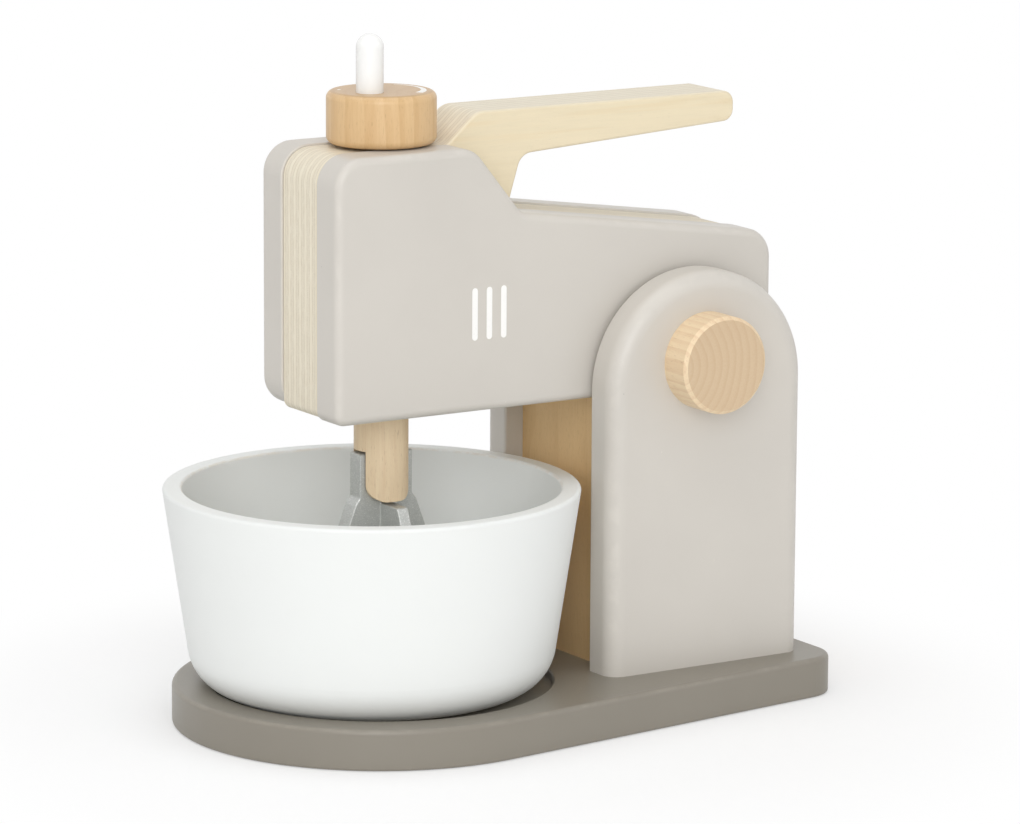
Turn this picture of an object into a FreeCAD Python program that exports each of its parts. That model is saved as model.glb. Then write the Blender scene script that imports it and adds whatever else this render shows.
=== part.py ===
"""Wooden toy stand mixer: a tapered base, a column of two arched boards, a tilting head with a
handle, a hand crank that turns a slotted shaft, a plug-in beater and a loose bowl.

Millimetres, +Z up. The origin is on the underside of the base, on the axis of the shaft.
+X runs from the bowl to the column, and the near side of the mixer is at -Y.
"""
import FreeCAD
import Part
import Sketcher
import math
import os

doc = FreeCAD.newDocument("ToyMixer")
sheet = doc.addObject("Spreadsheet::Sheet", "Sizes")

# Driving sizes: alias, value in millimetres, and what it is
SIZES = [
    ("base_radius", 61.4, "front arc of the base, about the shaft axis"),
    ("base_length", 134.0, "shaft axis to the rear edge of the base"),
    ("base_rear_half", 44.9, "half width of the base at its rear edge"),
    ("base_thick", 12.0, "base board"),
    ("base_corner", 11.5, "rear corners of the base in plan"),
    ("base_round", 1.5, "rounding along the top edge of the base"),
    ("base_low_round", 0.8, "rounding along the bottom edge of the base"),
    ("recess_radius", 50.6, "round recess that holds the bowl"),
    ("recess_deep", 2.5, "depth of the recess"),
    ("recess_round", 0.6, "eased edge of the recess"),
    ("column_front", 57.5, "shaft axis to the front edges of the uprights"),
    ("column_width", 68.0, "front to rear of an upright, and the width of its arch"),
    ("column_tall", 118.6, "upright above the base"),
    ("board_thick", 12.0, "upright board"),
    ("board_round", 5.0, "rounding of an upright's outer edges"),
    ("board_ease", 0.8, "eased inner edges of an upright"),
    ("block_recess", 6.3, "front of the block behind the front of the uprights"),
    ("block_seat", 18.0, "length of the block's top, where the head rests"),
    ("block_rear_gap", 7.5, "rear of the block ahead of the rear of the uprights"),
    ("block_step_drop", 34.4, "block's lower step below the pivot"),
    ("block_ease", 0.8, "eased edges of the block"),
    ("rest_gap", 0.3, "level head above the block's top"),
    ("pivot_back", 32.3, "pivot behind the front of the uprights"),
    ("pivot_under_top", 26.2, "pivot below the top of the uprights"),
    ("axle_dia", 12.0, "pivot axle"),
    ("running_gap", 0.05, "radial running clearance of a turning dowel"),
    ("glue_gap", 0.05, "radial gap of a glued or screwed joint"),
    ("cap_dia", 29.0, "round end caps of the pivot"),
    ("cap_long", 10.8, "length of an end cap"),
    ("cap_bore", 7.0, "depth of the axle's hole in an end cap"),
    ("cap_chamfer", 1.0, "chamfer on the end of a cap"),
    ("washer_dia", 22.0, "washers between the head and the uprights"),
    ("washer_thick", 1.35, "thickness of a washer"),
    ("side_gap", 0.3, "head to washer, each side"),
    ("head_front", 27.6, "front of the head ahead of the shaft axis"),
    ("head_under_pivot", 10.9, "underside of the head below the pivot"),
    ("head_tall", 77.2, "height of the front of the head"),
    ("tail_long", 32.8, "rear of the head behind the pivot"),
    ("nose_corner", 9.0, "top front corners of the head in profile"),
    ("nose_low_corner", 3.2, "bottom front corner of the near panel; the core follows it"),
    ("far_low_corner", 8.5, "bottom front corner of the far panel"),
    ("brow_back", 18.6, "break of the head's top behind the shaft axis"),
    ("brow_corner", 9.0, "rounding of that break"),
    ("saddle_back", 34.8, "foot of the slope behind the shaft axis"),
    ("saddle_drop", 19.95, "foot of the slope below the head's top"),
    ("saddle_corner", 5.0, "hollow at the foot of the slope"),
    ("tail_drop", 32.5, "top rear corner below the head's top"),
    ("tail_corner", 9.0, "top rear corner in profile"),
    ("heel_corner", 14.0, "bottom rear corner in profile"),
    ("panel_thick", 12.0, "side panel of the head"),
    ("panel_round", 2.4, "rounding of a panel's outer edges"),
    ("panel_ease", 0.6, "eased inner edges of a panel"),
    ("core_thick", 20.0, "plywood core of the head"),
    ("core_inset", 0.5, "core inside the outline of the panels"),
    ("core_ease", 0.8, "eased edges of the core and handle"),
    ("handle_foot", 16.0, "front foot of the handle behind the shaft axis"),
    ("handle_front", 26.5, "front of the handle's top behind the shaft axis"),
    ("handle_rise", 8.7, "top of the handle above the head's top"),
    ("handle_end", 116.3, "end of the handle behind the shaft axis"),
    ("handle_end_thick", 8.9, "handle's thickness at its end"),
    ("handle_root", 41.7, "root of the handle's underside behind the shaft axis"),
    ("handle_root_thick", 13.6, "handle's thickness at its root"),
    ("neck_foot", 36.9, "foot of the neck behind the shaft axis"),
    ("foot_round", 5.0, "hollow where the handle leaves the head's top"),
    ("front_round", 6.0, "front of the handle's top"),
    ("end_round", 3.5, "corners of the handle's end"),
    ("root_round", 5.0, "hollow under the handle's root"),
    ("shaft_dia", 16.0, "crank shaft"),
    ("knob_dia", 32.0, "crank knob"),
    ("knob_thick", 15.4, "thickness of the knob"),
    ("knob_gap", 0.3, "knob above the head's top"),
    ("knob_round", 2.2, "rounding of the knob's edges"),
    ("tenon_dia", 10.0, "shaft's tenon in the knob"),
    ("tenon_long", 7.0, "length of the tenon above the knob's underside"),
    ("peg_dia", 8.0, "crank peg"),
    ("peg_tall", 17.1, "peg above the knob"),
    ("peg_bore", 7.0, "depth of the peg's hole"),
    ("peg_forward", 5.6, "peg ahead of the shaft axis"),
    ("peg_side", 2.9, "peg towards the near side of the shaft axis"),
    ("keeper_dia", 3.0, "pin that keeps the shaft in the head"),
    ("keeper_low", 24.0, "keeper pin below the head's top"),
    ("keeper_bite", 1.3, "how far the keeper pin reaches into the shaft's groove"),
    ("keeper_gap", 0.3, "clearance round the keeper pin in the groove"),
    ("shaft_drop", 27.0, "end of the shaft below the head's underside"),
    ("slot_wide", 6.8, "slot in the shaft's end, across Y"),
    ("slot_tall", 14.7, "length of the slot"),
    ("cheek_corner", 5.0, "rounded corners of the shaft's two cheeks"),
    ("plate_thick", 6.0, "beater's main plate, which plugs into the slot"),
    ("plate_half", 8.9, "half width of the plate inside the slot"),
    ("prong_gap", 0.7, "top of the plate below the top of the slot"),
    ("fin_thick", 3.8, "beater's cross fin"),
    ("fin_low", 1.0, "top of the fin below the end of the shaft"),
    ("fin_half_top", 12.2, "half width of the fin at its top"),
    ("fin_half", 19.0, "half width of the fin at its widest"),
    ("flare_half", 10.4, "half width of the plate at the shoulder"),
    ("paddle_half", 16.0, "half width of the plate at its widest"),
    ("paddle_low", 16.0, "widest level below the end of the shaft"),
    ("paddle_tall", 10.0, "height of the widest part"),
    ("tip_half", 7.0, "half width of plate and fin at the bottom"),
    ("beater_floor_gap", 14.8, "beater above the bowl's floor"),
    ("beater_ease", 0.5, "eased edges of the beater"),
    ("bowl_rim_radius", 61.3, "outside of the bowl at the rim"),
    ("bowl_tall", 60.5, "height of the bowl"),
    ("bowl_foot_radius", 52.2, "outside of the bowl's wall, carried down to its foot"),
    ("bowl_wall", 5.8, "thickness of the bowl's wall"),
    ("bowl_floor", 5.0, "thickness of the bowl's floor"),
    ("bowl_corner", 14.0, "outside rounding at the bowl's foot"),
    ("bowl_rim_round", 1.0, "rounding of the rim"),
    ("seat_gap", 0.2, "bowl above the floor of its recess"),
    ("bowl_forward", 2.5, "bowl ahead of the shaft axis, as it stands in its recess"),
    ("bowl_side", 1.0, "bowl towards the far side"),
    ("screw_dia", 3.5, "wood screws under the base"),
    ("screw_head_dia", 7.0, "screw head"),
    ("screw_head_deep", 2.2, "depth of the countersunk head"),
    ("screw_long", 26.0, "length of a screw"),
    ("screw_sink", 0.6, "screw head above the underside of the base"),
    ("screw_slot", 0.9, "width of the cross in a screw head"),
    ("pin_dia", 6.0, "glued dowel pins"),
    ("pin_bite", 8.0, "dowel pin in a panel or an upright"),
    ("pin_block_bite", 12.0, "dowel pin in the block"),
]

# Places of the hidden pins and screws: distance from the shaft axis, and height above the underside of
# the head or the top of the base
HEAD_PIN_PLACES = [("nose_low", -17.5, 14.5), ("nose_high", -17.5, 61.5), ("middle", 56.0, 16.5),
                   ("rear", 66.0, 35.5)]
COLUMN_PIN_PLACES = [("front_low", 73.0, 20.0), ("front_high", 73.0, 64.0), ("rear", 106.0, 38.0)]
BLOCK_SCREW_PLACES = [("front", 73.0), ("rear", 106.0)]
UPRIGHT_SCREW_PLACES = [("front", 71.0), ("rear", 112.0)]

row = 1
for alias, value, note in SIZES:
    sheet.set("A%d" % row, alias)
    sheet.set("B%d" % row, str(value))
    sheet.set("C%d" % row, note)
    sheet.setAlias("B%d" % row, alias)
    row += 1


def add_places(kind, places, axes):
    """Put the places of like pins or screws into the sheet, one cell for each coordinate."""
    global row
    for place in places:
        for axis, value in zip(axes, place[1:]):
            alias = "%s_%s_%s" % (kind, place[0], axis)
            sheet.set("A%d" % row, alias)
            sheet.set("B%d" % row, str(value))
            sheet.setAlias("B%d" % row, alias)
            row += 1


add_places("headpin", HEAD_PIN_PLACES, ("back", "high"))
add_places("columnpin", COLUMN_PIN_PLACES, ("back", "high"))
add_places("blockscrew", BLOCK_SCREW_PLACES, ("back",))
add_places("boardscrew", UPRIGHT_SCREW_PLACES, ("back",))
doc.recompute()


def size(alias):
    """A driving size as a number."""
    return float(sheet.get(alias))


def named(text):
    """An expression in which each size word is a cell of the sheet."""
    words = []
    for word in text.replace("(", " ( ").replace(")", " ) ").split():
        words.append("Sizes." + word if word[0].isalpha() and word != "sqrt" else word)
    return " ".join(words).replace("sqrt (", "sqrt(")


# Derived levels and places, as expressions of the driving sizes
COLUMN_GAP_HALF = "core_thick / 2 + panel_thick + washer_thick + side_gap"
PIVOT_X = "column_front + pivot_back"
PIVOT_Z = "base_thick + column_tall - pivot_under_top"
HEAD_LOW = PIVOT_Z + " - head_under_pivot"
HEAD_TOP = HEAD_LOW + " + head_tall"
TAIL_X = PIVOT_X + " + tail_long"
SHAFT_LOW = HEAD_LOW + " - shaft_drop"
KNOB_LOW = HEAD_TOP + " + knob_gap"
KNOB_TOP = KNOB_LOW + " + knob_thick"
BOWL_LOW = "base_thick - recess_deep + seat_gap"
X_AXIS = FreeCAD.Vector(1, 0, 0)
ALONG_Y = FreeCAD.Rotation(X_AXIS, -90)


def bind(obj, **expressions):
    """Bind properties of an object to expressions of the sizes; __ in a name stands for a dot."""
    for name, text in expressions.items():
        obj.setExpression(name.replace("__", "."), named(text))
    return obj


def place(obj, x="0", y="0", z="0"):
    """Bind an object's position."""
    return bind(obj, Placement__Base__x=x, Placement__Base__y=y, Placement__Base__z=z)


def cylinder(name, radius, height, x="0", y="0", z="0", along_y=False):
    """A cylinder from (x, y, z) along +Z, or along +Y."""
    obj = doc.addObject("Part::Cylinder", name)
    if along_y:
        obj.Placement = FreeCAD.Placement(FreeCAD.Vector(), ALONG_Y)
    bind(obj, Radius=radius, Height=height)
    return place(obj, x, y, z)


def cone(name, low_radius, high_radius, height, x="0", y="0", z="0"):
    """A cone frustum from (x, y, z) along +Z."""
    obj = doc.addObject("Part::Cone", name)
    bind(obj, Radius1=low_radius, Radius2=high_radius, Height=height)
    return place(obj, x, y, z)


def block(name, length, width, height, x="0", y="0", z="0"):
    """A box from its low corner (x, y, z)."""
    obj = doc.addObject("Part::Box", name)
    bind(obj, Length=length, Width=width, Height=height)
    return place(obj, x, y, z)


def fuse(name, shapes):
    """The union of several shapes."""
    obj = doc.addObject("Part::MultiFuse", name)
    obj.Shapes = shapes
    return obj


def cut(name, base, tools):
    """A shape with the tools taken away."""
    obj = doc.addObject("Part::Cut", name)
    obj.Base = base
    obj.Tool = tools[0] if len(tools) == 1 else fuse(name + "_tools", tools)
    return obj


def common(name, base, tool):
    """The space that two shapes share."""
    obj = doc.addObject("Part::Common", name)
    obj.Base = base
    obj.Tool = tool
    return obj


def origin_plane(body, role):
    """One of a body's own origin planes."""
    return [f for f in body.Origin.OriginFeatures if f.Role == role][0]


def new_sketch(body, role, name):
    """A sketch on an origin plane of a body."""
    sketch = body.newObject("Sketcher::SketchObject", name)
    sketch.AttachmentSupport = [(origin_plane(body, role), "")]
    sketch.MapMode = "FlatFace"
    return sketch


def tie(sketch, kind, geometry, point, name, text):
    """Set a point's distance from the sketch's origin, bound to an expression."""
    spot = sketch.getPoint(geometry, point)
    start = spot.x if kind == "DistanceX" else spot.y
    index = sketch.addConstraint(Sketcher.Constraint(kind, -1, 1, geometry, point, start))
    sketch.renameConstraint(index, name)
    sketch.setExpression("Constraints." + name, named(text))


def polygon_sketch(body, role, name, corners):
    """A closed outline of straight lines whose corners are pairs of expressions."""
    sketch = new_sketch(body, role, name)
    count = len(corners)
    spot = [FreeCAD.Vector(math.cos(2 * math.pi * i / count), math.sin(2 * math.pi * i / count),
                           0) for i in range(count)]
    for i in range(count):
        sketch.addGeometry(Part.LineSegment(spot[i], spot[(i + 1) % count]), False)
    for i in range(count):
        sketch.addConstraint(Sketcher.Constraint("Coincident", i, 2, (i + 1) % count, 1))
    for i, (across, up) in enumerate(corners):
        tie(sketch, "DistanceX", i, 1, "across_%d" % i, across)
        tie(sketch, "DistanceY", i, 1, "up_%d" % i, up)
    return sketch


def pad(body, sketch, name, length, reverse=False, both_ways=False):
    """A pad of a sketch; both_ways spreads it equally to the two sides."""
    feature = body.newObject("PartDesign::Pad", name)
    feature.Profile = sketch
    if both_ways:
        feature.Midplane = True
    feature.Reversed = reverse
    feature.setExpression("Length", named(length))
    sketch.Visibility = False
    doc.recompute()
    return feature


def edge_names(shape, test):
    """Names of the edges that pass a test."""
    return ["Edge%d" % (i + 1) for i, edge in enumerate(shape.Edges) if test(edge)]


def middle(edge):
    """A point halfway along an edge."""
    low, high = edge.ParameterRange
    return edge.valueAt((low + high) / 2)


def dress(body, kind, name, amount, test):
    """A fillet or chamfer on the edges of a body's tip that pass a test."""
    base = body.Tip
    names = edge_names(base.Shape, test)
    if not names:
        raise RuntimeError("no edge for " + name)
    feature = body.newObject("PartDesign::" + kind, name)
    feature.Base = (base, names)
    feature.setExpression("Radius" if kind == "Fillet" else "Size", named(amount))
    doc.recompute()
    return feature


def corner_test(x, z, y=None):
    """True for an edge along Y that stands at (x, z) in profile."""
    def test(edge):
        a, b = edge.Vertexes[0].Point, edge.Vertexes[-1].Point
        return abs(a.x - b.x) < 1e-6 and abs(a.z - b.z) < 1e-6 and math.hypot(a.x - x, a.z - z) < 1e-3
    return test


def face_edge_test(y):
    """True for an edge that lies in the plane at y."""
    def test(edge):
        return all(abs(v.Point.y - y) < 1e-6 for v in edge.Vertexes) and abs(middle(edge).y - y) < 1e-6
    return test


def level_edge_test(z):
    """True for an edge that lies in the level plane at z."""
    def test(edge):
        return all(abs(v.Point.z - z) < 1e-6 for v in edge.Vertexes) and abs(middle(edge).z - z) < 1e-6
    return test


def round_corners(body, corners):
    """Round the corners of a profile pad: (name, x, z, radius cell) for each."""
    for name, x, z, radius in corners:
        dress(body, "Fillet", name, radius, corner_test(x, z))


kept = []


def keep(obj, label):
    """Give a finished sub-part its own label, which is the name of its file."""
    obj.Label = label
    kept.append(obj)
    return obj


# Sizes as numbers, for finding edges and for starting the arcs of sketches
base_top = size("base_thick")
gap_half = size("core_thick") / 2 + size("panel_thick") + size("washer_thick") + size("side_gap")
head_low = base_top + size("column_tall") - size("pivot_under_top") - size("head_under_pivot")
head_top = head_low + size("head_tall")
tail_x = size("column_front") + size("pivot_back") + size("tail_long")


def make_screw_set(prefix, cells, y, hole):
    """Screws under the base at the same y, or with hole=True the cutters for them."""
    made = []
    grow = " + glue_gap" if hole else ""
    for cell in cells:
        name = prefix + cell
        x = cell
        shank = cylinder(name + "_shank", "screw_dia / 2" + grow, "screw_long - screw_head_deep" + grow,
                         x, y, "screw_sink + screw_head_deep")
        head = cone(name + "_head", "screw_head_dia / 2" + grow, "screw_dia / 2" + grow, "screw_head_deep",
                    x, y, "screw_sink")
        if hole:
            mouth = cylinder(name + "_mouth", "screw_head_dia / 2" + grow, "screw_sink", x, y, "0")
            made += [shank, head, mouth]
            continue
        solid = fuse(name + "_solid", [shank, head])
        bars = []
        for turn, long_x, long_y in (("x", "screw_head_dia / 2", "screw_slot"),
                                     ("y", "screw_slot", "screw_head_dia / 2")):
            bars.append(block(name + "_bar_" + turn, long_x, long_y, "screw_head_deep / 2",
                              "%s - ( %s ) / 2" % (x, long_x), "%s - ( %s ) / 2" % (y,
                                      long_y), "screw_sink"))
        made.append(cut(name, solid, bars))
    return made


BLOCK_SCREWS = ["blockscrew_%s_back" % p[0] for p in BLOCK_SCREW_PLACES]
BOARD_SCREWS = ["boardscrew_%s_back" % p[0] for p in UPRIGHT_SCREW_PLACES]
BOARD_MIDDLE = "( %s + board_thick / 2 )" % COLUMN_GAP_HALF
SCREW_ROWS = [("block", BLOCK_SCREWS, "0"), ("near", BOARD_SCREWS, "0 - " + BOARD_MIDDLE),
              ("far", BOARD_SCREWS, BOARD_MIDDLE)]


def make_base():
    """Base board: an arc about the bowl, straight sides that draw in to the rear, and the bowl's recess."""
    body = doc.addObject("PartDesign::Body", "base_board")
    sketch = new_sketch(body, "XY_Plane", "base_outline")
    radius, length, rear = size("base_radius"), size("base_length"), size("base_rear_half")
    reach = math.hypot(length, rear)
    touch = math.atan2(rear, length) + math.acos(radius / reach)
    far = FreeCAD.Vector(radius * math.cos(touch), radius * math.sin(touch), 0)
    near = FreeCAD.Vector(far.x, -far.y, 0)
    far_rear = FreeCAD.Vector(length, rear, 0)
    near_rear = FreeCAD.Vector(length, -rear, 0)
    circle = Part.Circle(FreeCAD.Vector(), FreeCAD.Vector(0, 0, 1), radius)
    sketch.addGeometry(Part.ArcOfCircle(circle, touch, 2 * math.pi - touch), False)
    sketch.addGeometry(Part.LineSegment(near, near_rear), False)
    sketch.addGeometry(Part.LineSegment(near_rear, far_rear), False)
    sketch.addGeometry(Part.LineSegment(far_rear, far), False)
    sketch.addConstraint(Sketcher.Constraint("Coincident", 0, 3, -1, 1))
    sketch.addConstraint(Sketcher.Constraint("Tangent", 0, 2, 1, 1))
    sketch.addConstraint(Sketcher.Constraint("Coincident", 1, 2, 2, 1))
    sketch.addConstraint(Sketcher.Constraint("Coincident", 2, 2, 3, 1))
    sketch.addConstraint(Sketcher.Constraint("Tangent", 3, 2, 0, 1))
    index = sketch.addConstraint(Sketcher.Constraint("Radius", 0, radius))
    sketch.renameConstraint(index, "front_arc")
    sketch.setExpression("Constraints.front_arc", named("base_radius"))
    tie(sketch, "DistanceX", 2, 1, "near_rear_x", "base_length")
    tie(sketch, "DistanceY", 2, 1, "near_rear_y", "0 - base_rear_half")
    tie(sketch, "DistanceX", 2, 2, "far_rear_x", "base_length")
    tie(sketch, "DistanceY", 2, 2, "far_rear_y", "base_rear_half")
    pad(body, sketch, "base_pad", "base_thick")

    def rear_corner(edge):
        a, b = edge.Vertexes[0].Point, edge.Vertexes[-1].Point
        return abs(a.x - length) < 1e-3 and abs(b.x - length) < 1e-3 and abs(a.y - b.y) < 1e-6
    dress(body, "Fillet", "base_corners", "base_corner", rear_corner)
    dress(body, "Fillet", "base_top_edge", "base_round", level_edge_test(base_top))
    dress(body, "Fillet", "base_low_edge", "base_low_round", level_edge_test(0))
    ring = new_sketch(body, "XY_Plane", "recess_outline")
    ring.addGeometry(Part.Circle(FreeCAD.Vector(), FreeCAD.Vector(0, 0, 1), size("recess_radius")), False)
    ring.addConstraint(Sketcher.Constraint("Coincident", 0, 3, -1, 1))
    index = ring.addConstraint(Sketcher.Constraint("Radius", 0, size("recess_radius")))
    ring.renameConstraint(index, "recess")
    ring.setExpression("Constraints.recess", named("recess_radius"))
    ring.setExpression("AttachmentOffset.Base.z", named("base_thick - recess_deep"))
    pocket = body.newObject("PartDesign::Pocket", "recess_pocket")
    pocket.Profile = ring
    pocket.Reversed = True
    pocket.setExpression("Length", named("recess_deep + base_thick"))
    doc.recompute()

    def recess_edge(edge):
        reach_out = math.hypot(middle(edge).x, middle(edge).y)
        return level_edge_test(base_top)(edge) and abs(reach_out - size("recess_radius")) < 1e-3
    dress(body, "Fillet", "recess_edge", "recess_round", recess_edge)
    holes = []
    for side, cells, y in SCREW_ROWS:
        holes += make_screw_set("base_hole_%s_" % side, cells, y, True)
    return keep(cut("base_plate_cut", body, holes), "base_plate")


def make_upright(side, sign):
    """Arched upright: sign -1 is the near side, +1 the far side."""
    body = doc.addObject("PartDesign::Body", side + "_upright_board")
    place(body, "0", "%s ( %s )" % ("0 -" if sign < 0 else "0 +", COLUMN_GAP_HALF), "0")
    sketch = new_sketch(body, "XZ_Plane", side + "_upright_outline")
    front = size("column_front")
    half = size("column_width") / 2
    spring = base_top + size("column_tall") - half
    points = [FreeCAD.Vector(front, base_top, 0), FreeCAD.Vector(front + 2 * half, base_top, 0),
              FreeCAD.Vector(front + 2 * half, spring, 0), FreeCAD.Vector(front, spring, 0)]
    sketch.addGeometry(Part.LineSegment(points[0], points[1]), False)
    sketch.addGeometry(Part.LineSegment(points[1], points[2]), False)
    circle = Part.Circle(FreeCAD.Vector(front + half, spring, 0), FreeCAD.Vector(0, 0, 1), half)
    sketch.addGeometry(Part.ArcOfCircle(circle, 0, math.pi), False)
    sketch.addGeometry(Part.LineSegment(points[3], points[0]), False)
    sketch.addConstraint(Sketcher.Constraint("Coincident", 0, 2, 1, 1))
    sketch.addConstraint(Sketcher.Constraint("Tangent", 1, 2, 2, 1))
    sketch.addConstraint(Sketcher.Constraint("Tangent", 2, 2, 3, 1))
    sketch.addConstraint(Sketcher.Constraint("Coincident", 3, 2, 0, 1))
    sketch.addConstraint(Sketcher.Constraint("Horizontal", 0))
    sketch.addConstraint(Sketcher.Constraint("Vertical", 1))
    sketch.addConstraint(Sketcher.Constraint("Vertical", 3))
    tie(sketch, "DistanceX", 0, 1, "front", "column_front")
    tie(sketch, "DistanceY", 0, 1, "foot", "base_thick")
    tie(sketch, "DistanceX", 0, 2, "rear", "column_front + column_width")
    tie(sketch, "DistanceY", 2, 3, "spring", "base_thick + column_tall - column_width / 2")
    pad(body, sketch, side + "_upright_pad", "board_thick", reverse=sign > 0)

    def outline_edges(face_y):
        return lambda edge: face_edge_test(face_y)(edge) and middle(edge).z > base_top + 1e-3
    dress(body, "Fillet", side + "_upright_round", "board_round", outline_edges(sign * size("board_thick")))
    dress(body, "Fillet", side + "_upright_ease", "board_ease", outline_edges(0))
    tools = [cylinder(side + "_axle_hole", "axle_dia / 2 + glue_gap", "board_thick * 3", PIVOT_X,
                      "%s ( %s ) %s" % ("0 -" if sign < 0 else "0 +", COLUMN_GAP_HALF,
                                        "- board_thick * 2" if sign < 0 else "- board_thick"),
                      PIVOT_Z, along_y=True)]
    for where, x, z in COLUMN_PIN_PLACES:
        if sign < 0:
            y = "0 - ( %s ) - pin_bite - glue_gap" % COLUMN_GAP_HALF
        else:
            y = "( %s ) - board_thick" % COLUMN_GAP_HALF
        tools.append(cylinder("%s_pin_hole_%s" % (side, where), "pin_dia / 2 + glue_gap",
                              "board_thick + pin_bite + glue_gap",
                              "columnpin_%s_back" % where, y,
                              "base_thick + columnpin_%s_high" % where, along_y=True))
    y = SCREW_ROWS[1][2] if sign < 0 else SCREW_ROWS[2][2]
    tools += make_screw_set("%s_board_hole_" % side, BOARD_SCREWS, y, True)
    return keep(cut(side + "_upright_cut", body, tools), side + "_upright")


def make_block():
    """Solid block between the uprights: its front carries the head, its rear is lower for the tail."""
    body = doc.addObject("PartDesign::Body", "block_board")
    top = HEAD_LOW + " - rest_gap"
    step = PIVOT_Z + " - block_step_drop"
    corners = [("column_front + block_recess", "base_thick"),
               ("column_front + column_width - block_rear_gap", "base_thick"),
               ("column_front + column_width - block_rear_gap", step),
               ("column_front + block_recess + block_seat", step),
               ("column_front + block_recess + block_seat", top),
               ("column_front + block_recess", top)]
    sketch = polygon_sketch(body, "XZ_Plane", "block_outline", corners)
    pad(body, sketch, "block_pad", "2 * ( %s )" % COLUMN_GAP_HALF, both_ways=True)
    front = size("column_front") + size("block_recess")
    seat = head_low - size("rest_gap")
    dress(body, "Fillet", "block_edges", "block_ease",
          lambda edge: corner_test(front, seat)(edge) or corner_test(front + size("block_seat"),
                  seat)(edge))
    tools = []
    for where, x, z in COLUMN_PIN_PLACES:
        tools.append(cylinder("block_pin_hole_near_" + where, "pin_dia / 2 + glue_gap",
                              "pin_block_bite * 2",
                              "columnpin_%s_back" % where, "0 - ( %s ) - pin_block_bite" % COLUMN_GAP_HALF,
                              "base_thick + columnpin_%s_high" % where, along_y=True))
        tools.append(cylinder("block_pin_hole_far_" + where, "pin_dia / 2 + glue_gap", "pin_block_bite * 2",
                              "columnpin_%s_back" % where, "( %s ) - pin_block_bite" % COLUMN_GAP_HALF,
                              "base_thick + columnpin_%s_high" % where, along_y=True))
    tools += make_screw_set("block_hole_", BLOCK_SCREWS, "0", True)
    return keep(cut("column_block_cut", body, tools), "column_block")


def head_corners(inset, top_path):
    """Profile of the head from its front bottom corner; inset draws the level and upright sides in."""
    return [("0 - head_front" + inset, HEAD_LOW + inset),
            ("0 - head_front" + inset, HEAD_TOP + inset.replace("+", "-"))] + top_path + [
            (TAIL_X + inset.replace("+", "-"), HEAD_TOP + " - tail_drop" + inset.replace("+", "-")),
            (TAIL_X + inset.replace("+", "-"), HEAD_LOW + inset)]


def head_pin_holes(prefix, start, length):
    """Cutters for the dowel pins through the head."""
    return [cylinder("%s_pin_hole_%s" % (prefix, where), "pin_dia / 2 + glue_gap", length,
                     "headpin_%s_back" % where, start, HEAD_LOW + " + headpin_%s_high" % where, along_y=True)
            for where, x, z in HEAD_PIN_PLACES]


def make_panel(side, sign):
    """Side panel of the head, with a large round-over on its outer face."""
    body = doc.addObject("PartDesign::Body", side + "_panel_board")
    place(body, "0", "%s core_thick / 2" % ("0 -" if sign < 0 else "0 +"), "0")
    top_path = [("brow_back", HEAD_TOP), ("saddle_back", HEAD_TOP + " - saddle_drop")]
    sketch = polygon_sketch(body, "XZ_Plane", side + "_panel_outline", head_corners("", top_path))
    pad(body, sketch, side + "_panel_pad", "panel_thick", reverse=sign > 0)
    round_corners(body, [
        (side + "_nose_low", -size("head_front"), head_low,
         "nose_low_corner" if sign < 0 else "far_low_corner"),
        (side + "_nose_high", -size("head_front"), head_top, "nose_corner"),
        (side + "_brow", size("brow_back"), head_top, "brow_corner"),
        (side + "_saddle", size("saddle_back"), head_top - size("saddle_drop"), "saddle_corner"),
        (side + "_tail", tail_x, head_top - size("tail_drop"), "tail_corner"),
        (side + "_heel", tail_x, head_low, "heel_corner")])
    dress(body, "Fillet", side + "_panel_outer", "panel_round", face_edge_test(sign * size("panel_thick")))
    dress(body, "Fillet", side + "_panel_inner", "panel_ease", face_edge_test(0))
    if sign < 0:
        start = "0 - core_thick / 2 - panel_thick * 2"
        pin_start = "0 - core_thick / 2 - pin_bite - glue_gap"
    else:
        start = "core_thick / 2 - panel_thick"
        pin_start = "core_thick / 2 - panel_thick"
    tools = [cylinder(side + "_panel_axle_hole", "axle_dia / 2 + running_gap", "panel_thick * 3", PIVOT_X,
                      start, PIVOT_Z, along_y=True)]
    tools += head_pin_holes(side + "_panel", pin_start, "pin_bite + glue_gap + panel_thick")
    return keep(cut(side + "_head_panel_cut", body, tools), side + "_head_panel")


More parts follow.
